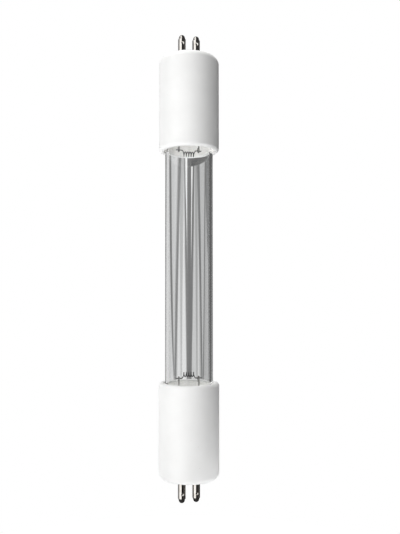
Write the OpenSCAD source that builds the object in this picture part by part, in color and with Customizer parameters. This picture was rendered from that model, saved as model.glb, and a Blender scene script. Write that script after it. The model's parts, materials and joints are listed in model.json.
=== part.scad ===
// Double-ended ultraviolet lamp: a quartz tube with a ceramic cap, two contact pins
// and a coiled filament at each end. Z runs along the tube. The origin is the centre
// of the lower cap's end face. The pins and filament posts lie in the XZ plane.

/* [Lamp] */
// Distance between the outer faces of the two caps
face_to_face = 135.9; // [110:0.1:300]

/* [Quartz tube] */
// Outside diameter of the tube
tube_d = 15.5; // [13:0.1:18]
// Thickness of the tube's wall
tube_wall = 1.0; // [0.7:0.05:1.4]
// Height of the domed shoulder that closes the tube
shoulder_h = 3.5; // [3:0.1:5]
// Length of the pressed seal beyond the shoulder
pinch_h = 8.0; // [7.5:0.1:10]
// How far each edge of the pressed seal lies inside the tube's outside
pinch_inset = 0.35; // [0.2:0.05:0.7]
// Thickness of the pressed seal between its beads
pinch_t = 2.8; // [2:0.1:3.2]
// Diameter of the bead along each edge of the pressed seal
pinch_bead_d = 3.6; // [3.2:0.1:4]
// Diameter of the exhaust tip at its root, on the upper shoulder
exhaust_d = 2.6; // [2:0.1:3]
// Diameter of the exhaust tip where it was melted shut
exhaust_tip_d = 0.9; // [0.6:0.1:1.2]
// Reach of the exhaust tip beyond the shoulder
exhaust_h = 1.8; // [1:0.1:3]
// Distance of the exhaust tip's axis from the tube's outside
exhaust_inset = 3.15; // [2.8:0.05:3.5]

/* [Ceramic caps] */
// Thickness of a cap's side wall
cap_wall = 1.6; // [1.35:0.05:3]
// Length of a cap
cap_h = 30.5; // [29:0.1:45]
// Thickness of a cap's end wall
cap_floor = 3.0; // [2:0.1:4]
// Radius round the outer end of a cap
cap_end_round = 2.0; // [0.8:0.1:2.5]
// Radius round the outside of a cap's mouth
cap_mouth_round = 1.0; // [0.3:0.05:1.1]
// Radius round the inside of a cap's mouth
cap_bore_round = 0.3; // [0.1:0.05:0.4]
// Radius of the fillet at the bottom of a cap's bore
cap_floor_round = 0.8; // [0.3:0.1:1.2]

/* [Cement] */
// Thickness of the cement between the tube and the bore of a cap
cement_t = 0.4; // [0.2:0.05:0.5]
// Length of the ring of cement
cement_h = 9.5; // [5:0.1:10]
// Depth of the cement below a cap's mouth
cement_recess = 0.8; // [0.5:0.1:1.5]

/* [Contact pins] */
// Distance between the centres of the two pins
pin_pitch = 4.75; // [4.6:0.05:5]
// Diameter of a pin
pin_d = 2.5; // [2.3:0.05:2.6]
// Reach of a pin beyond the cap
pin_h = 8.0; // [6.5:0.1:10]
// Diameter of the pin's rounded tip
pin_tip_d = 2.0; // [1.8:0.05:2.2]
// Height of the rounded tip
pin_tip_h = 1.05; // [0.7:0.05:1.3]
// Height of the taper between the pin and its tip
pin_taper_h = 0.5; // [0.2:0.05:0.6]
// Bore of the hollow pin
pin_bore_d = 1.4; // [1.2:0.05:1.5]
// Thickness of metal left at the tip of the bore
pin_tip_wall = 1.0; // [0.8:0.05:1.4]
// Diameter of the collar that seats in the cap
pin_collar_d = 3.3; // [3:0.1:3.8]
// Thickness of the collar
pin_collar_h = 0.8; // [0.5:0.1:1.2]
// Diameter of the shank through the cap
pin_shank_d = 2.0; // [1.8:0.05:2.2]
// Diameter of the flare that holds the pin inside the cap
pin_flare_d = 3.0; // [2.6:0.1:3.6]
// Thickness of the flare
pin_flare_h = 0.35; // [0.25:0.05:0.6]
// Clearance round the shank and the collar
pin_fit = 0.05; // [0.02:0.01:0.1]

/* [Crimps] */
// Distance of the crimp from the pin's tip
crimp_from_tip = 3.0; // [2.3:0.1:3.5]
// Diameter of the punch that made each dimple
crimp_punch_d = 1.1; // [0.8:0.1:1.4]
// Distance of the punch's centre outside the pin
crimp_standoff = 0.2; // [0.1:0.05:0.3]
// How far the metal pressed inwards laps round the lead
crimp_lap = 0.06; // [0.03:0.01:0.1]

/* [Seal foils] */
// Width of a foil
foil_w = 2.2; // [1.6:0.1:2.8]
// Length of a foil
foil_h = 5.0; // [4:0.1:5.5]
// Thickness of a foil
foil_t = 0.1; // [0.06:0.01:0.16]
// Quartz between a foil and the outer end of the pressed seal
foil_margin = 1.5; // [1:0.1:2]
// Length of wire welded on to each end of a foil
weld_h = 1.2; // [0.8:0.1:1.6]

/* [Leads and posts] */
// Diameter of an outer lead
lead_d = 0.6; // [0.5:0.05:0.7]
// Height of the double bend that takes a lead across to its pin
lead_bend_h = 2.8; // [2.4:0.1:3]
// Room between the cap's end wall and the pressed seal
lead_room = 4.0; // [3.7:0.1:5]
// Gap between the end of a lead and the bottom of the pin's bore
lead_end_gap = 0.4; // [0.2:0.1:0.8]
// Distance between the two filament posts, as a share of the tube's bore
post_share = 0.49; // [0.46:0.002:0.52]
// Diameter of a filament post
post_d = 0.55; // [0.45:0.05:0.65]
// Length of a hook's free arm, behind the tail that it clamps
hook_arm = 1.0; // [0.5:0.1:1.5]

/* [Filaments] */
// Outside diameter of the coil
coil_d = 1.7; // [1.4:0.05:1.9]
// Diameter of the coil's wire
wire_d = 0.32; // [0.26:0.02:0.4]
// Number of turns in the coil
coil_turns = 5; // [3:1:6]
// Advance of the coil in one turn
coil_pitch = 0.8; // [0.6:0.02:0.86]
// How far the coil's two straight tails lie outside the coil, on the side of its cap
tail_drop = 0.5; // [0.2:0.05:0.7]
// How far each tail runs beyond the axis of its post
tail_over = 1.0; // [0.6:0.1:1.4]
// Distance of the upper coil beyond its cap's mouth
upper_coil_reach = 0.6; // [0:0.1:4]
// Distance of the lower coil beyond its cap's mouth
lower_coil_reach = 2.5; // [0:0.1:4]

/* [Mercury] */
// Diameter of the mercury bead
bead_d = 1.2; // [0.8:0.1:1.8]

/* [Hidden] */
$fn = 48;

// Every end piece is drawn at the lower end, with z = 0 at the cap's outer face and
// z growing towards the middle of the lamp. The upper end is its mirror image.
ends = ["lower", "upper"];
sides = ["left", "right"];

tube_r = tube_d / 2;
tube_bore_r = tube_r - tube_wall;
cap_bore_r = tube_r + cement_t;
cap_r = cap_bore_r + cap_wall;
pin_x = pin_pitch / 2;
post_x = post_share * tube_bore_r;
pinch_x = tube_r - pinch_inset - pinch_bead_d / 2;
exhaust_y = tube_r - exhaust_inset;

pinch_z = cap_floor + lead_room;
foil_z = pinch_z + foil_margin;
foil_top_z = foil_z + foil_h;
shoulder_z = pinch_z + pinch_h;
tube_z = shoulder_z + shoulder_h;
cavity_z = shoulder_z + tube_wall;

// The wires are ground flat where they are welded to a foil, a post by a quarter of its
// thickness, so the foil's face lies a little to one side of the wires' axes.
weld_flat = 0.25;
weld_y = -post_d * (1 / 2 - weld_flat);

crimp_z = -(pin_h - crimp_from_tip);
crimp_y = pin_d / 2 + crimp_standoff;
crimp_bulge_r = crimp_y - lead_d / 2 + crimp_lap;
pin_bore_z = -(pin_h - pin_tip_wall);
lead_end_z = pin_bore_z + lead_end_gap;

// Double bend of a lead, from its foil's line to its pin's line
lead_shift = post_x - pin_x;
lead_turn = 2 * atan(lead_shift / lead_bend_h);
lead_bend_r = lead_bend_h / (2 * sin(lead_turn));
lead_bend_z = (cap_floor + pin_flare_h + pinch_z) / 2;
lead_join_d = 1.02 * lead_d;

// The tails lie against the backs of the posts, so the coil is a little behind the posts,
// and each hook folds over its tail and down behind it.
coil_r = (coil_d - wire_d) / 2;
tail_r = coil_r + tail_drop;
hook_turn_r = (post_d + wire_d) / 2;

// The coil runs from tail to tail, and its first and last quarter turns ease the wire
// from the straight tail into the helix, inwards and with three times the advance.
ease_turn = 90;
ease_x = 3 * ease_turn * coil_pitch / 360;
coil_turn = 360 * coil_turns;
coil_x = 2 * ease_x + coil_pitch * (coil_turn - 2 * ease_turn) / 360;
ease_steps = 5;
turn_steps = 14;
wire_sides = 8;

arc_steps = 12;
dome_steps = 16;

function end_names(what) = [for (e = ends, s = sides) str(e, "_", s, "_", what)];

// Points of an arc round (x, y), from one angle to another
function arc(x, y, r, from, to, steps = arc_steps) =
    [for (i = [0:steps]) let (a = from + (to - from) * i / steps) [x + r * cos(a), y + r * sin(a)]];

// Points of the quarter ellipse that closes the tube, from the axis out to radius r
function dome(r, h) =
    [for (i = [0:dome_steps]) let (a = 90 * i / dome_steps) [r * sin(a), tube_z - h * cos(a)]];

function mirrored(points) =
    [for (i = [len(points) - 1:-1:0]) [points[i][0], face_to_face - points[i][1]]];

module at_end(end) {
    if (end == "upper")
        translate([0, 0, face_to_face]) mirror([0, 0, 1]) children();
    else
        children();
}

module on_side(side) {
    if (side == "left")
        mirror([1, 0, 0]) children();
    else
        children();
}

// A round rod bent along an arc in the XZ plane, round (x, z)
module bent_rod(x, z, r, d, from, turn) {
    translate([x, 0, z])
        rotate([90, 0, 0])
            rotate([0, 0, from])
                rotate_extrude(angle = turn)
                    translate([r, 0])
                        circle(d = d);
}

// A straight upright rod between two heights
module upright(d, from, to) {
    translate([0, 0, from])
        cylinder(h = to - from, d = d);
}

// A straight upright rod with a flat on the side that is welded to the foil
module welded_rod(d, from, to) {
    translate([post_x, 0, 0])
        difference() {
            upright(d, from, to);
            translate([-d, weld_y - d, from - 1]) cube([2 * d, d, to - from + 2]);
        }
}

module cap(end) {
    outline = concat(
        [[0, 0]],
        arc(cap_r - cap_end_round, cap_end_round, cap_end_round, -90, 0),
        arc(cap_r - cap_mouth_round, cap_h - cap_mouth_round, cap_mouth_round, 0, 90),
        arc(cap_bore_r + cap_bore_round, cap_h - cap_bore_round, cap_bore_round, 90, 180),
        arc(cap_bore_r - cap_floor_round, cap_floor + cap_floor_round, cap_floor_round, 0, -90),
        [[0, cap_floor]]);
    color("white")
        at_end(end)
            difference() {
                rotate_extrude() polygon(outline);
                for (side = sides)
                    on_side(side)
                        translate([pin_x, 0, 0]) {
                            upright(pin_collar_d + 2 * pin_fit, -1, pin_collar_h);
                            upright(pin_shank_d + 2 * pin_fit, -1, cap_floor + 1);
                        }
            }
}

module cement(end) {
    top = cap_h - cement_recess;
    color("gainsboro")
        at_end(end)
            rotate_extrude()
                translate([tube_r, top - cement_h])
                    square([cement_t, cement_h]);
}

// A hollow pin: rounded tip, collar seated in the cap, shank, and the flare inside it
module pin(end, side) {
    tip_z = -(pin_h - pin_tip_h);
    flare_z = cap_floor + pin_flare_h;
    outline = concat(
        [[0, flare_z], [pin_flare_d / 2, flare_z], [pin_flare_d / 2, cap_floor]],
        [[pin_shank_d / 2, cap_floor], [pin_shank_d / 2, pin_collar_h]],
        [[pin_collar_d / 2, pin_collar_h], [pin_collar_d / 2, 0], [pin_d / 2, 0]],
        [[pin_d / 2, tip_z + pin_taper_h]],
        [for (i = [0:arc_steps])
            let (a = 90 * i / arc_steps)
                [pin_tip_d / 2 * cos(a), tip_z - pin_tip_h * sin(a)]]);
    color("silver")
        at_end(end)
            on_side(side)
                translate([pin_x, 0, 0])
                    difference() {
                        rotate_extrude() polygon(outline);
                        difference() {
                            upright(pin_bore_d, pin_bore_z, flare_z + 1);
                            for (way = [-1, 1])
                                translate([0, way * crimp_y, crimp_z]) sphere(r = crimp_bulge_r);
                        }
                        upright(lead_d, lead_end_z, 0);
                        for (way = [-1, 1])
                            translate([0, way * crimp_y, crimp_z]) sphere(d = crimp_punch_d);
                    }
}

module foil_shape() {
    translate([post_x - foil_w / 2, weld_y - foil_t, foil_z])
        cube([foil_w, foil_t, foil_h]);
}

module foil(end, side) {
    color("lightslategray") at_end(end) on_side(side) foil_shape();
}

// The part of a lead that lies in the pressed seal
module lead_root() {
    translate([post_x, 0, 0]) upright(lead_d, pinch_z, foil_z);
    welded_rod(lead_d, foil_z, foil_z + weld_h);
}

// A lead leaves the seal, bends across to its pin's axis and ends in the pin's bore
module lead(end, side) {
    bend_top = lead_bend_z + lead_bend_h / 2;
    bend_foot = lead_bend_z - lead_bend_h / 2;
    color("gray")
        at_end(end)
            on_side(side) {
                lead_root();
                translate([post_x, 0, 0]) {
                    upright(lead_d, bend_top, pinch_z);
                    bent_rod(-lead_bend_r, bend_top, lead_bend_r, lead_d, 0, -lead_turn);
                }
                // A ball, a hair thicker than the wire, where the two bends meet
                translate([(pin_x + post_x) / 2, 0, lead_bend_z]) sphere(d = lead_join_d);
                translate([pin_x, 0, 0]) {
                    bent_rod(lead_bend_r, bend_foot, lead_bend_r, lead_d, 180, -lead_turn);
                    upright(lead_d, lead_end_z, bend_foot);
                }
            }
}

// The part of a post that lies in the quartz, up to a height inside the cavity
module post_root(to) {
    welded_rod(post_d, foil_top_z - weld_h, foil_top_z);
    translate([post_x, 0, 0]) upright(post_d, foil_top_z, to);
}

function coil_z(end) = cap_h + (end == "upper" ? upper_coil_reach : lower_coil_reach);

// A post rises from its foil, folds back over the coil's tail and ends behind it
module post(end, side) {
    tail_z = coil_z(end) - tail_r;
    color("dimgray")
        at_end(end)
            on_side(side) {
                post_root(tail_z);
                translate([post_x, hook_turn_r, tail_z])
                    rotate([90, 0, 90])
                        rotate_extrude(angle = 180)
                            translate([hook_turn_r, 0])
                                circle(d = post_d);
                translate([post_x, 2 * hook_turn_r, 0]) upright(post_d, tail_z - hook_arm, tail_z);
            }
}

// Distance along the coil after a turn of a degrees
function along(a) =
    a < ease_turn ? ease_x * sqrt(a / ease_turn)
    : a > coil_turn - ease_turn ? coil_x - ease_x * sqrt((coil_turn - a) / ease_turn)
    : ease_x + coil_pitch * (a - ease_turn) / 360;

function outwards(a) = [0, -sin(a), -cos(a)];

// Distance from the coil's axis after a turn of a degrees
function swing(a) =
    coil_r + tail_drop * pow(max(0, 1 - a / ease_turn, 1 - (coil_turn - a) / ease_turn), 2);

function on_coil(a) = [along(a) - coil_x / 2, 0, 0] + swing(a) * outwards(a);

// The turns at which the wire's centre line is taken, eased at both ends
ease_angles = [for (i = [0:ease_steps]) ease_turn * pow(i / ease_steps, 2)];
main_count = round((coil_turn - 2 * ease_turn) / 360 * turn_steps);
main_angles = [for (i = [1:main_count - 1]) ease_turn + (coil_turn - 2 * ease_turn) * i / main_count];
angles = concat(
    ease_angles, main_angles,
    [for (i = [ease_steps:-1:0]) coil_turn - ease_angles[i]]);

// A rod swept along a line of points, with a given outward direction at each point
module swept_rod(path, outs, d) {
    last = len(path) - 1;
    function ahead(i) = path[min(i + 1, last)] - path[max(i - 1, 0)];
    function beside(i) = let (c = cross(ahead(i), outs[i])) c / norm(c);
    rings = [for (i = [0:last], j = [0:wire_sides - 1])
        let (a = 360 * j / wire_sides)
            path[i] + d / 2 * (cos(a) * outs[i] + sin(a) * beside(i))];
    walls = [for (i = [0:last - 1], j = [0:wire_sides - 1])
        let (k = (j + 1) % wire_sides)
            [i * wire_sides + j, (i + 1) * wire_sides + j,
             (i + 1) * wire_sides + k, i * wire_sides + k]];
    start_cap = [for (j = [0:wire_sides - 1]) j];
    end_cap = [for (j = [wire_sides - 1:-1:0]) last * wire_sides + j];
    polyhedron(points = rings, faces = concat(walls, [start_cap, end_cap]));
}

module filament(end) {
    tail_x = post_x + tail_over;
    tail = tail_r * outwards(0);
    path = concat(
        [[-tail_x, 0, 0] + tail],
        [for (a = angles) on_coil(a)],
        [[tail_x, 0, 0] + tail]);
    outs = concat([outwards(0)], [for (a = angles) outwards(a)], [outwards(0)]);
    color("slategray")
        at_end(end)
            translate([0, hook_turn_r, coil_z(end)]) swept_rod(path, outs, wire_d);
}

// The pressed seal: a flat slab between two round beads, let into the shoulder
module pinch() {
    translate([-pinch_x, -pinch_t / 2, pinch_z])
        cube([2 * pinch_x, pinch_t, tube_z - pinch_z]);
    for (way = [-1, 1])
        translate([way * pinch_x, 0, 0]) upright(pinch_bead_d, pinch_z, tube_z);
}

// What is left of the tube that the lamp was pumped through, melted to a rounded tip
module exhaust_tip() {
    root_z = shoulder_z + shoulder_h / 2;
    end_z = shoulder_z - exhaust_h;
    tip_r = exhaust_tip_d / 2;
    translate([0, exhaust_y, 0])
        rotate_extrude()
            polygon(concat(
                [[0, root_z]],
                arc(0, end_z + tip_r, tip_r, -90, 0, arc_steps / 2),
                [[exhaust_d / 2, root_z]]));
}

module quartz_envelope() {
    color("lightcyan", 0.35)
        difference() {
            union() {
                rotate_extrude()
                    polygon(concat(dome(tube_r, shoulder_h), mirrored(dome(tube_r, shoulder_h))));
                for (end = ends)
                    at_end(end) pinch();
                at_end("upper") exhaust_tip();
            }
            rotate_extrude()
                polygon(concat(
                    dome(tube_bore_r, shoulder_h - tube_wall),
                    mirrored(dome(tube_bore_r, shoulder_h - tube_wall))));
            for (end = ends, side = sides)
                at_end(end)
                    on_side(side) {
                        lead_root();
                        foil_shape();
                        post_root(tube_z);
                    }
        }
}

module mercury_bead() {
    color("silver")
        translate([0, 0, cavity_z + bead_d / 2]) sphere(d = bead_d);
}

quartz_envelope();
mercury_bead();
for (end = ends) {
    cap(end);
    cement(end);
    filament(end);
    for (side = sides) {
        name = str(end, "_", side, "_");
        pin(end, side);
        lead(end, side);
        foil(end, side);
        post(end, side);
    }
}
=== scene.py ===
import json
import math

import bpy
import numpy as np
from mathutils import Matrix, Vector, noise


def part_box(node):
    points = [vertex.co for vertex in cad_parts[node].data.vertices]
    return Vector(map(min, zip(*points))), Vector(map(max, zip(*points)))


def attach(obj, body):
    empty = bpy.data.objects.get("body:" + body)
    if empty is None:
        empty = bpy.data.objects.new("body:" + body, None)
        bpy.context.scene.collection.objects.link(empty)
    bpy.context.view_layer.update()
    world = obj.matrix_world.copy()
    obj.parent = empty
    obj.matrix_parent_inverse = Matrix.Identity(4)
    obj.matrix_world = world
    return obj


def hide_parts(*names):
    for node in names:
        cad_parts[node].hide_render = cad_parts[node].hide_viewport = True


# The looks of the double-ended ultraviolet lamp. Lengths are in metres, in the frame of
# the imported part: Z along the lamp, the pins and posts in the XZ plane.

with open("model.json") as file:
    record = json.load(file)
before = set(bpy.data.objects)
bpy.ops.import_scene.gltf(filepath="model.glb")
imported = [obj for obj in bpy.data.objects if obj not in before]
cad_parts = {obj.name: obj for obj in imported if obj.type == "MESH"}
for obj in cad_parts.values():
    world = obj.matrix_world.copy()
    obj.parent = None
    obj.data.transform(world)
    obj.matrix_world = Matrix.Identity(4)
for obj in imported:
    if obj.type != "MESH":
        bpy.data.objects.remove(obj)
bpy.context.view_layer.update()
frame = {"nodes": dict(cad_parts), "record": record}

MM = 0.001

# Sizes of the part, from the frame
FACE_TO_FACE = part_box("upper_cap")[1].z
CAP_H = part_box("lower_cap")[1].z
TUBE_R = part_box("quartz_envelope")[1].x
CEMENT_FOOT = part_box("lower_cement")[0].z
CEMENT_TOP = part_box("lower_cement")[1].z
CAP_BORE_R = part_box("lower_cement")[1].x
TAIL_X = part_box("lower_filament")[1].x

# Sizes of the filaments and their posts, which the frame doesn't give. The reach is how far
# the middle line of each coil lies beyond the mouth of its cap.
COIL_D = 1.7 * MM
WIRE_D = 0.32 * MM
COIL_TURNS = 5
COIL_PITCH = 0.8 * MM
COIL_REACH = {"lower": 2.5 * MM, "upper": 0.6 * MM}
TAIL_DROP = 0.5 * MM
POST_D = 0.55 * MM
COIL_Y = (POST_D + WIRE_D) / 2

# The wire of a coil is itself a fine winding, with this pitch and this share of its radius
# as the depth of its ridges
RIDGE_PITCH = 0.15 * MM
RIDGE_DEPTH = 0.14

# How finely the meshes are drawn
COIL_STEPS = 720
WIRE_STEP = 0.03 * MM
WIRE_SIDES = 10
CEMENT_SIDES = 144
FLOOR_SIDES = 96

# The cement laps a little into the quartz, so that no gap shows. Its surface has swells,
# so many per millimetre of radius, with finer ripples on them. Their noise is read along a
# circle of its own, and at another place for the upper ring.
CEMENT_LAP = 0.05 * MM
SWELL_H = 0.09 * MM
RIPPLE_H = 0.04 * MM
SWELLS = 4.0
RIPPLES_PER_SWELL = 3.7
NOISE_CIRCLE = 3
UPPER_NOISE_SHIFT = 7

# The camera, from a fit to the photograph. Its turn and pitch are in radians.
CAMERA_DISTANCE = 194.6 * MM
CAMERA_HEIGHT = 56.85 * MM
CAMERA_TURN = math.radians(13)
CAMERA_PITCH = 0.028
LENS = 40.38
SHIFT = (0.0206, 0.0319)

# The floor is pale, fades into the white towards its rim, and is dark to mirrored rays
FLOOR_Z = -80 * MM
FLOOR_R = 190 * MM
FADE_FROM, FADE_TO = 0.4 * FLOOR_R, 0.95 * FLOOR_R
FLOOR_GLOW = 0.3
FLOOR_COLOUR = (0.86, 0.86, 0.87)
MIRRORED_FLOOR = (0.03, 0.03, 0.03)

# Softboxes and cards: side in degrees from the camera, distance, height, width, length,
# power in watts, and the height of the point that each faces
MIDDLE = FACE_TO_FACE / 2
LAMPS = {
    "front_box": (-12, 0.80, 0.10, 0.30, 1.4, 1.95, MIDDLE),
    "left_box": (-55, 0.80, 0.10, 0.30, 1.4, 2.85, MIDDLE),
    "back_left_box": (-137, 0.80, 0.10, 0.30, 1.4, 4.7, MIDDLE),
    "back_right_box": (130, 0.80, 0.10, 0.30, 1.4, 1.2, MIDDLE),
    "low_front_box": (-20, 0.50, -0.30, 0.30, 0.3, 2.5, 0.10),
    "overhead_box": (0, 0.01, 0.80, 0.30, 0.3, 5.2, 0.0),
    "low_card": (-30, 0.12, -0.04, 0.08, 0.05, 0.021, 0.01),
    "foot_card": (75, 0.045, -0.015, 0.03, 0.02, 0.009, -0.03),
}

# Light on matt surfaces from the studio at large
AMBIENT = (0.08, 0.08, 0.081)

# What metal mirrors: the tone of the studio at each angle in degrees from the camera's
# line of sight, positive to its right, and how bright the whole of it is
MIRRORED = 1.35
MIRRORED_TONES = [
    (-180.0, 0.01), (-165.6, 1.0), (-111.6, 1.0), (-100.8, 0.25), (-50.4, 0.22),
    (-28.8, 0.08), (-10.8, 0.08), (3.6, 0.3), (21.6, 0.03), (79.2, 0.01),
    (93.6, 0.05), (133.2, 0.05), (144.0, 0.003), (180.0, 0.003),
]

# What the glass shows: a grey wall with upright strips. Each strip has its left and right
# edge in degrees at the top and at the foot, and how much brighter it is than the wall, or
# darker where that is below zero. A strip whose edges cross tapers to a point there. The
# top and the foot are sines of the angle above the horizon.
WALL = 0.21
STRIP_TOP, STRIP_FOOT = 0.184, -0.129
STRIPS = [
    (-60.0, -22.0, -60.0, -8.0, 0.54),
    (-12.5, -4.9, -7.3, -7.5, 0.47),
    (-3.6, -3.6, -4.9, -3.0, 0.27),
    (-3.2, -1.6, -5.6, -0.75, 0.29),
    (-1.8, -1.6, -2.5, -0.8, 0.31),
    (-1.05, -0.6, 0.25, -0.65, 0.80),
    (0.75, 1.1, 0.6, 0.05, 0.80),
    (1.75, 3.0, 0.85, 5.3, 0.22),
    (1.75, 2.0, 0.9, 2.6, 0.24),
    (3.2, 3.4, 3.1, 4.3, 0.27),
    (4.4, 8.6, 6.2, 6.4, 0.36),
    (9.9, 9.8, 7.5, 23.0, 0.29),
    (26.0, 60.0, 34.0, 60.0, -0.09),
]

# The blur of a strip's edges in degrees: at the middle, its growth per degree away from
# there, and its limit
BLUR, BLUR_GROWTH, BLUR_LIMIT = 0.08, 0.06, 1.0

# On the right the strips end at a dark band of painted shade, which darkens the glass just below the upper
# cap.
# Its lower edge, in the same measure as the strips' top, rises slightly with each degree. It starts and ends
# between these angles.
SHADE_BAND_EDGE, SHADE_BAND_RISE, SHADE_BAND_BLUR = 0.219, 0.001, 0.001
SHADE_BAND_START, SHADE_BAND_END = (0.5, 0.8), (50.0, 60.0)
SHADE_BAND_TONE = (WALL - 0.06,) * 3


# Helpers for node trees

def plug(tree, socket, value):
    """Links a value that is a socket, and sets any other."""
    if isinstance(value, bpy.types.NodeSocket):
        tree.links.new(value, socket)
    else:
        socket.default_value = value


def add(tree, kind, settings=None, **inputs):
    """Adds a node with its settings and its inputs by name, with _ for a space."""
    n = tree.nodes.new(kind)
    for key, value in (settings or {}).items():
        setattr(n, key, value)
    for key, value in inputs.items():
        plug(tree, n.inputs[key.replace("_", " ")], value)
    return n


def maths(tree, operation, *values):
    n = add(tree, "ShaderNodeMath", {"operation": operation})
    for socket, value in zip(n.inputs, values):
        plug(tree, socket, value)
    return n.outputs[0]


def ramp(tree, fac, stops):
    """A colour ramp. Each stop is a position and a grey or a colour."""
    n = add(tree, "ShaderNodeValToRGB", Fac=fac)
    elements = n.color_ramp.elements
    while len(elements) < len(stops):
        elements.new(0.5)
    for element, (position, colour) in zip(elements, stops):
        if not isinstance(colour, tuple):
            colour = (colour,) * 3
        element.position = position
        element.color = (*colour, 1)
    return n.outputs["Color"]


def map_range(tree, value, low, high, to_low=0.0, to_high=1.0):
    """Moves a value from one range to another, with a soft start and end."""
    n = add(tree, "ShaderNodeMapRange", {"interpolation_type": "SMOOTHSTEP"}, Value=value,
            From_Min=low, From_Max=high, To_Min=to_low, To_Max=to_high)
    return n.outputs[0]


def object_noise(tree, scale, detail=3.0, stretch=(1, 1, 1), roughness=0.5):
    """Noise in the part's own frame. Scale is in features per millimetre."""
    coords = add(tree, "ShaderNodeTexCoord").outputs["Object"]
    mapping = add(tree, "ShaderNodeMapping", Vector=coords, Scale=tuple(s / MM for s in stretch))
    return add(tree, "ShaderNodeTexNoise", Vector=mapping.outputs[0],
               Scale=scale, Detail=detail, Roughness=roughness).outputs["Fac"]


def mix_colour(tree, fac, *colours):
    n = add(tree, "ShaderNodeMix", {"data_type": "RGBA"}, Factor=fac)
    sockets = [socket for socket in n.inputs if socket.type == "RGBA"]
    for socket, colour in zip(sockets, colours):
        plug(tree, socket, (*colour, 1) if isinstance(colour, tuple) else colour)
    return next(socket for socket in n.outputs if socket.type == "RGBA")


def bump(tree, height, distance, strength=1.0, normal=None):
    n = add(tree, "ShaderNodeBump", Height=height, Distance=distance, Strength=strength)
    if normal is not None:
        plug(tree, n.inputs["Normal"], normal)
    return n.outputs[0]


def material(name):
    mat = bpy.data.materials.new(name)
    mat.use_nodes = True
    return mat, mat.node_tree, mat.node_tree.nodes["Principled BSDF"]


# Materials

def ceramic_material():
    """Fired, unglazed white ceramic: satin, with faint mottling, fine grain and a few specks."""
    mat, tree, shader = material("white_ceramic")
    cloud = object_noise(tree, 0.16, 4)
    grain = object_noise(tree, 6.0, 4, roughness=0.7)
    specks = map_range(tree, object_noise(tree, 1.9, 1), 0.80, 0.83)
    base = ramp(tree, cloud, [(0.3, (0.90, 0.90, 0.89)), (0.7, (0.935, 0.935, 0.925))])
    plug(tree, shader.inputs["Base Color"], mix_colour(tree, specks, base, (0.72, 0.70, 0.66)))
    plug(tree, shader.inputs["Roughness"], maths(tree, "MULTIPLY_ADD", grain, 0.22, 0.34))
    fine = bump(tree, grain, 0.012 * MM, 0.6)
    plug(tree, shader.inputs["Normal"], bump(tree, cloud, 0.08 * MM, 0.5, fine))
    return mat


def quartz_material():
    """Clear fused quartz: faint lines along the tube from drawing it, hardly any colour."""
    mat, tree, shader = material("fused_quartz")
    lines = object_noise(tree, 1.3, 3, (1, 1, 0.012))
    ripple = object_noise(tree, 0.35, 2, (1, 1, 0.12))
    tone = ramp(tree, lines, [(0.35, (0.955, 0.965, 0.965)), (0.6, (0.995, 0.995, 0.995))])
    plug(tree, shader.inputs["Base Color"], tone)
    shader.inputs["Transmission Weight"].default_value = 1.0
    shader.inputs["IOR"].default_value = 1.458
    plug(tree, shader.inputs["Roughness"], maths(tree, "MULTIPLY", lines, 0.02))
    drawn = bump(tree, lines, 0.0012 * MM)
    plug(tree, shader.inputs["Normal"], bump(tree, ripple, 0.003 * MM, normal=drawn))
    return mat


def nickel_material():
    """Bright nickel plate: fine marks from drawing along the pin, with duller patches."""
    mat, tree, shader = material("nickel_plate")
    marks = object_noise(tree, 9.0, 3, (1, 1, 0.06))
    dull = object_noise(tree, 0.9, 3)
    tone = ramp(tree, dull, [(0.35, (0.76, 0.74, 0.71)), (0.65, (0.68, 0.64, 0.59))])
    plug(tree, shader.inputs["Base Color"], tone)
    shader.inputs["Metallic"].default_value = 1.0
    plug(tree, shader.inputs["Roughness"], maths(tree, "MULTIPLY_ADD", dull, 0.12, 0.05))
    plug(tree, shader.inputs["Normal"], bump(tree, marks, 0.012 * MM, 0.5))
    return mat


def drawn_metal(name, dark, light, rough, stretch):
    """Drawn or rolled metal with fine lines along it and a thin oxide."""
    mat, tree, shader = material(name)
    marks = object_noise(tree, 7.0, 3, stretch)
    oxide = object_noise(tree, 0.8, 3)
    plug(tree, shader.inputs["Base Color"], mix_colour(tree, oxide, dark, light))
    shader.inputs["Metallic"].default_value = 1.0
    plug(tree, shader.inputs["Roughness"], maths(tree, "MULTIPLY_ADD", marks, 0.2, rough))
    plug(tree, shader.inputs["Normal"], bump(tree, marks, 0.01 * MM, 0.5))
    return mat


def molybdenum_material():
    return drawn_metal("molybdenum_strip", (0.30, 0.30, 0.31), (0.46, 0.46, 0.47), 0.3, (1, 1, 0.05))


def post_material():
    return drawn_metal("post_wire", (0.40, 0.395, 0.39), (0.62, 0.61, 0.59), 0.16, (1, 1, 0.08))


def filament_material():
    """Dark tungsten with the remains of a pale, powdery coat between its windings."""
    mat, tree, shader = material("tungsten_coil")
    coat = object_noise(tree, 2.2, 4, roughness=0.7)
    cover = map_range(tree, coat, 0.56, 0.72)
    tone = mix_colour(tree, cover, (0.03, 0.03, 0.032), (0.30, 0.29, 0.28))
    plug(tree, shader.inputs["Base Color"], tone)
    plug(tree, shader.inputs["Metallic"], maths(tree, "MULTIPLY_ADD", cover, -0.8, 0.9))
    plug(tree, shader.inputs["Roughness"], maths(tree, "MULTIPLY_ADD", cover, 0.4, 0.38))
    plug(tree, shader.inputs["Normal"], bump(tree, coat, 0.02 * MM, 0.6))
    return mat


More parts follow.
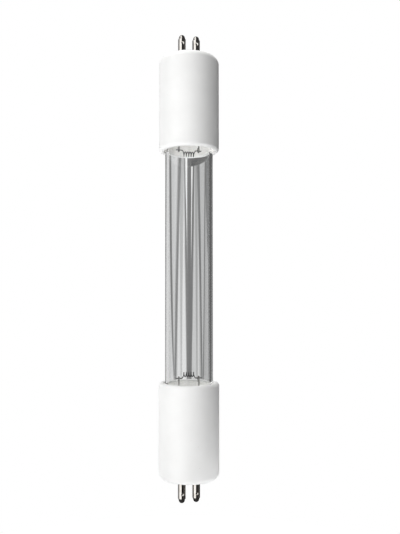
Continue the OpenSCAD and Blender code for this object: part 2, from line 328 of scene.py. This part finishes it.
def cement_material():
    """Basing cement: an off-white, matt, fine-grained mass with sunk pores, which are painted darker as
    painted shade.
    """
    mat, tree, shader = material("basing_cement")
    grain = object_noise(tree, 5.0, 5, roughness=0.7)
    pores_and_painted_shade = map_range(tree, object_noise(tree, 2.6, 2), 0.66, 0.74)
    base = ramp(tree, grain, [(0.3, (0.80, 0.79, 0.76)), (0.7, (0.90, 0.895, 0.87))])
    # The pores are sunk by the bump, and their darker colour is painted shade in them
    plug(tree, shader.inputs["Base Color"], mix_colour(tree, pores_and_painted_shade, base, (0.55, 0.53, 0.49)))
    shader.inputs["Roughness"].default_value = 0.9
    fine = bump(tree, grain, 0.05 * MM, 0.8)
    sunk = maths(tree, "MULTIPLY", pores_and_painted_shade, -1.0)
    plug(tree, shader.inputs["Normal"], bump(tree, sunk, 0.06 * MM, normal=fine))
    return mat


def mercury_material():
    """Liquid mercury with a few motes of dust on its skin."""
    mat, tree, shader = material("mercury_drop")
    dust = map_range(tree, object_noise(tree, 6.0, 2), 0.68, 0.74)
    tone = mix_colour(tree, dust, (0.80, 0.81, 0.82), (0.45, 0.45, 0.45))
    plug(tree, shader.inputs["Base Color"], tone)
    shader.inputs["Metallic"].default_value = 1.0
    plug(tree, shader.inputs["Roughness"], maths(tree, "MULTIPLY_ADD", dust, 0.4, 0.03))
    return mat


# Pieces built here in place of CAD nodes

def ring_points(count):
    """The angles of points spread evenly round a circle."""
    return [2 * math.pi * i / count for i in range(count)]


def mesh_object(name, points, faces, smooth=True):
    mesh = bpy.data.meshes.new(name)
    mesh.from_pydata([tuple(p) for p in points], [], faces)
    mesh.validate()
    if smooth:
        mesh.polygons.foreach_set("use_smooth", [True] * len(mesh.polygons))
    ob = bpy.data.objects.new(name, mesh)
    bpy.context.scene.collection.objects.link(ob)
    return ob


def end_piece(name, points, faces, end):
    """A mesh drawn at the lower end. For the upper end it is mirrored along Z."""
    points = np.array(points, float)
    if end == "upper":
        points[:, 2] = FACE_TO_FACE - points[:, 2]
        faces = [f[::-1] for f in faces]
    return mesh_object(name, points, faces)


def swept_tube(path, radii, sides):
    """Points and faces of a round tube with its own radius at each point and closed ends."""
    count = len(path)
    ahead = np.gradient(path, axis=0)
    ahead /= np.linalg.norm(ahead, axis=1)[:, None]
    out = np.cross(ahead[0], (0, 1, 0))
    points = []
    for i in range(count):
        out = out - ahead[i] * np.dot(out, ahead[i])
        out /= np.linalg.norm(out)
        beside = np.cross(ahead[i], out)
        for a in ring_points(sides):
            points.append(path[i] + radii[i] * (math.cos(a) * out + math.sin(a) * beside))
    faces = []
    for i in range(count - 1):
        for j in range(sides):
            k = (j + 1) % sides
            faces.append((i * sides + j, i * sides + k, (i + 1) * sides + k, (i + 1) * sides + j))
    faces.append(tuple(range(sides - 1, -1, -1)))
    faces.append(tuple((count - 1) * sides + j for j in range(sides)))
    return points, faces


def evenly_spaced(path, step):
    """The same path with points one step apart, and how far along it each point lies."""
    path = np.array(path)
    steps = np.linalg.norm(np.diff(path, axis=0), axis=1)
    reach = np.concatenate([[0], np.cumsum(steps)])
    places = np.arange(0, reach[-1], step)
    return np.stack([np.interp(places, reach, path[:, k]) for k in range(3)], axis=1), places


def coil_path(coil_z):
    """The middle line of a filament: a tail, a coil that opens towards both tails, a tail."""
    coil_r = (COIL_D - WIRE_D) / 2
    tail_z = coil_z - coil_r - TAIL_DROP
    ease = math.pi / 2
    turn = 2 * math.pi * COIL_TURNS
    ease_x = 3 * ease * COIL_PITCH / (2 * math.pi)
    coil_x = 2 * ease_x + COIL_PITCH * (turn - 2 * ease) / (2 * math.pi)

    def along(a):
        if a < ease:
            return ease_x * math.sqrt(a / ease)
        if a > turn - ease:
            return coil_x - ease_x * math.sqrt((turn - a) / ease)
        return ease_x + COIL_PITCH * (a - ease) / (2 * math.pi)

    path = [(-TAIL_X, COIL_Y, tail_z)]
    for i in range(COIL_STEPS + 1):
        a = turn * (1 - math.cos(math.pi * i / COIL_STEPS)) / 2
        swing = coil_r + TAIL_DROP * max(0, 1 - a / ease, 1 - (turn - a) / ease) ** 2
        path.append((along(a) - coil_x / 2, COIL_Y - swing * math.sin(a), coil_z - swing * math.cos(a)))
    path.append((TAIL_X, COIL_Y, tail_z))
    return path


def filament(end, mat):
    """The coil and its tails. Its wire is itself a fine winding, which shows as ridges."""
    path, places = evenly_spaced(coil_path(CAP_H + COIL_REACH[end]), WIRE_STEP)
    ridges = RIDGE_DEPTH * (1 - np.cos(2 * math.pi * places / RIDGE_PITCH)) / 2
    points, faces = swept_tube(path, WIRE_D / 2 * (1 - ridges), WIRE_SIDES)
    ob = end_piece(end + "_filament_coil", points, faces, end)
    ob.data.materials.append(mat)
    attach(ob, "root")
    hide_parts(end + "_filament")


def cement_ring(end, mat):
    """The ring of cement. Its surface at the mouth creeps up both walls and is uneven."""
    inner = TUBE_R - CEMENT_LAP
    # Radius, height, and whether the point lies on the uneven surface
    profile = [
        (inner, CEMENT_FOOT, False),
        (inner, CEMENT_TOP + 0.16 * MM, True),
        (TUBE_R + 0.03 * MM, CEMENT_TOP + 0.12 * MM, True),
        (TUBE_R + 0.12 * MM, CEMENT_TOP - 0.02 * MM, True),
        (TUBE_R + 0.24 * MM, CEMENT_TOP - 0.03 * MM, True),
        (CAP_BORE_R - 0.05 * MM, CEMENT_TOP + 0.05 * MM, True),
        (CAP_BORE_R, CEMENT_TOP + 0.12 * MM, True),
        (CAP_BORE_R, CEMENT_FOOT, False),
    ]
    shift = UPPER_NOISE_SHIFT if end == "upper" else 0
    points = []
    for a in ring_points(CEMENT_SIDES):
        for r, z, uneven in profile:
            place = Vector((NOISE_CIRCLE * math.cos(a), NOISE_CIRCLE * math.sin(a), SWELLS * r / MM + shift))
            if uneven:
                z += SWELL_H * noise.noise(place) + RIPPLE_H * noise.noise(place * RIPPLES_PER_SWELL)
            points.append((r * math.cos(a), r * math.sin(a), z))
    rows = len(profile)
    faces = []
    for i in range(CEMENT_SIDES):
        n = (i + 1) % CEMENT_SIDES
        for j in range(rows):
            k = (j + 1) % rows
            faces.append((i * rows + j, i * rows + k, n * rows + k, n * rows + j))
    ob = end_piece(end + "_cement_ring", points, faces, end)
    ob.data.materials.append(mat)
    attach(ob, "root")
    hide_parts(end + "_cement")


def dress_nodes():
    """Gives each CAD node the material of its slot, and returns the materials by slot."""
    looks = {
        "quartz": quartz_material(),
        "ceramic": ceramic_material(),
        "nickel": nickel_material(),
        "molybdenum": molybdenum_material(),
        "post_metal": post_material(),
        "mercury": mercury_material(),
        "tungsten": filament_material(),
        "cement": cement_material(),
    }
    for part in frame["record"]["subparts"]:
        for slot in frame["nodes"][part["node"]].material_slots:
            slot.material = looks[part["material_slot"]]
    return looks


def light_through_quartz():
    """Lets the lamps light what is inside the quartz. It still shows, refracts and mirrors."""
    quartz = frame["nodes"]["quartz_envelope"]
    quartz.visible_shadow = False
    quartz.visible_diffuse = False


# Camera, studio and lights

def facing(side, distance, height):
    """A point round the lamp. Side is in degrees from the camera, positive to its right."""
    a = math.radians(side) - CAMERA_TURN
    return Vector((math.sin(a) * distance, -math.cos(a) * distance, height))


def make_camera():
    data = bpy.data.cameras.new("camera")
    data.lens = LENS
    data.shift_x, data.shift_y = SHIFT
    data.clip_start = 10 * MM
    ob = bpy.data.objects.new("camera", data)
    bpy.context.scene.collection.objects.link(ob)
    ob.location = facing(0, CAMERA_DISTANCE, CAMERA_HEIGHT)
    ob.rotation_euler = (math.pi / 2 + CAMERA_PITCH, 0, -CAMERA_TURN)
    bpy.context.scene.camera = ob


def make_lamp(name, side, distance, height, width, length, power, aim):
    """A softbox or card. Glass and metal see the studio's tones in its place."""
    data = bpy.data.lights.new(name, "AREA")
    data.shape = "RECTANGLE"
    data.size = width
    data.size_y = length
    data.energy = power
    ob = bpy.data.objects.new(name, data)
    bpy.context.scene.collection.objects.link(ob)
    ob.location = facing(side, distance, height)
    target = Vector((0, 0, aim))
    ob.rotation_euler = (target - ob.location).to_track_quat("-Z", "Y").to_euler()
    ob.visible_glossy = False
    ob.visible_transmission = False


def make_floor():
    """A pale round floor that keeps the lamp's shadow."""
    rim = [(FLOOR_R * math.cos(a), FLOOR_R * math.sin(a), FLOOR_Z) for a in ring_points(FLOOR_SIDES)]
    ob = mesh_object("floor", rim, [tuple(range(FLOOR_SIDES))], smooth=False)
    mat, tree, shader = material("pale_floor")
    shader.inputs["Roughness"].default_value = 0.9
    path = add(tree, "ShaderNodeLightPath").outputs
    # The pins mirror the dark foot of the studio in place of the pale floor
    tone = mix_colour(tree, path["Is Glossy Ray"], FLOOR_COLOUR, MIRRORED_FLOOR)
    plug(tree, shader.inputs["Base Color"], tone)
    # To the camera and through glass it also glows, more towards the rim
    seen = maths(tree, "MAXIMUM", path["Is Camera Ray"], path["Is Transmission Ray"])
    place = add(tree, "ShaderNodeTexCoord").outputs["Object"]
    from_middle = add(tree, "ShaderNodeVectorMath", {"operation": "LENGTH"}, Vector=place).outputs["Value"]
    glow = map_range(tree, from_middle, FADE_FROM, FADE_TO, FLOOR_GLOW, 1.0)
    shader.inputs["Emission Color"].default_value = (1, 1, 1, 1)
    plug(tree, shader.inputs["Emission Strength"], maths(tree, "MULTIPLY", seen, glow))
    ob.data.materials.append(mat)


def strip(tree, angle, above, tone, left_top, right_top, left_foot, right_foot, light):
    """Adds one strip to the wall's tone. Above is 0 at the strips' foot and 1 at their top."""
    left = maths(tree, "MULTIPLY_ADD", above, left_top - left_foot, left_foot)
    right = maths(tree, "MULTIPLY_ADD", above, right_top - right_foot, right_foot)
    blur = min(BLUR + BLUR_GROWTH * abs(left_top), BLUR_LIMIT)
    past_left = map_range(tree, maths(tree, "SUBTRACT", angle, left), -blur, blur)
    short_of_right = map_range(tree, maths(tree, "SUBTRACT", right, angle), -blur, blur)
    there = maths(tree, "MULTIPLY", past_left, short_of_right)
    return maths(tree, "MULTIPLY_ADD", there, light, tone)


def glass_wall(tree, angle, height):
    """The wall behind the lamp, as the tube's glass shows it."""
    span = STRIP_TOP - STRIP_FOOT
    above = maths(tree, "MULTIPLY_ADD", height, 1 / span, -STRIP_FOOT / span)
    tone = WALL
    for edges_and_light in STRIPS:
        tone = strip(tree, angle, above, tone, *edges_and_light)
    # Painted shade: a dark band over the strips' top on the right, which darkens the glass just below the
    # upper cap
    edge = maths(tree, "MULTIPLY_ADD", angle, SHADE_BAND_RISE, SHADE_BAND_EDGE)
    painted_shade_band = map_range(tree, maths(tree, "SUBTRACT", height, edge), -SHADE_BAND_BLUR, SHADE_BAND_BLUR)
    painted_shade_band = maths(tree, "MULTIPLY", painted_shade_band, map_range(tree, angle, *SHADE_BAND_START))
    painted_shade_band = maths(tree, "MULTIPLY", painted_shade_band, map_range(tree, angle, *SHADE_BAND_END, 1.0, 0.0))
    return mix_colour(tree, painted_shade_band, tone, SHADE_BAND_TONE)


def mirrored_studio(tree, angle):
    """The bright and the dark side of the studio, as metal mirrors them."""
    around = maths(tree, "MULTIPLY_ADD", angle, 1 / 360, 0.5)
    stops = [(degrees / 360 + 0.5, tone) for degrees, tone in MIRRORED_TONES]
    return maths(tree, "MULTIPLY", MIRRORED, ramp(tree, around, stops))


def make_world():
    """White to the camera, the wall through glass, the studio in metal, dim to the rest."""
    world = bpy.data.worlds.new("studio")
    bpy.context.scene.world = world
    world.use_nodes = True
    tree = world.node_tree
    tree.nodes.clear()
    ray = add(tree, "ShaderNodeTexCoord").outputs["Generated"]
    direction = add(tree, "ShaderNodeSeparateXYZ", Vector=ray).outputs
    azimuth = maths(tree, "DEGREES", maths(tree, "ARCTAN2", direction["X"], direction["Y"]))
    azimuth = maths(tree, "SUBTRACT", azimuth, math.degrees(CAMERA_TURN))
    angle = maths(tree, "WRAP", azimuth, 180.0, -180.0)
    path = add(tree, "ShaderNodeLightPath").outputs
    wall = glass_wall(tree, angle, direction["Z"])
    colour = mix_colour(tree, path["Is Transmission Ray"], mirrored_studio(tree, angle), wall)
    colour = mix_colour(tree, path["Is Camera Ray"], colour, (1, 1, 1))
    shown = maths(tree, "MAXIMUM", path["Is Camera Ray"], path["Is Glossy Ray"])
    shown = maths(tree, "MAXIMUM", shown, path["Is Transmission Ray"])
    colour = mix_colour(tree, shown, AMBIENT, colour)
    background = add(tree, "ShaderNodeBackground", Color=colour, Strength=1.0).outputs[0]
    add(tree, "ShaderNodeOutputWorld", Surface=background)


bpy.context.scene.view_settings.view_transform = "Standard"
make_camera()
make_world()
make_floor()
for name, values in LAMPS.items():
    make_lamp(name, *values)

looks = dress_nodes()
light_through_quartz()
for end in ("lower", "upper"):
    filament(end, looks["tungsten"])
    cement_ring(end, looks["cement"])
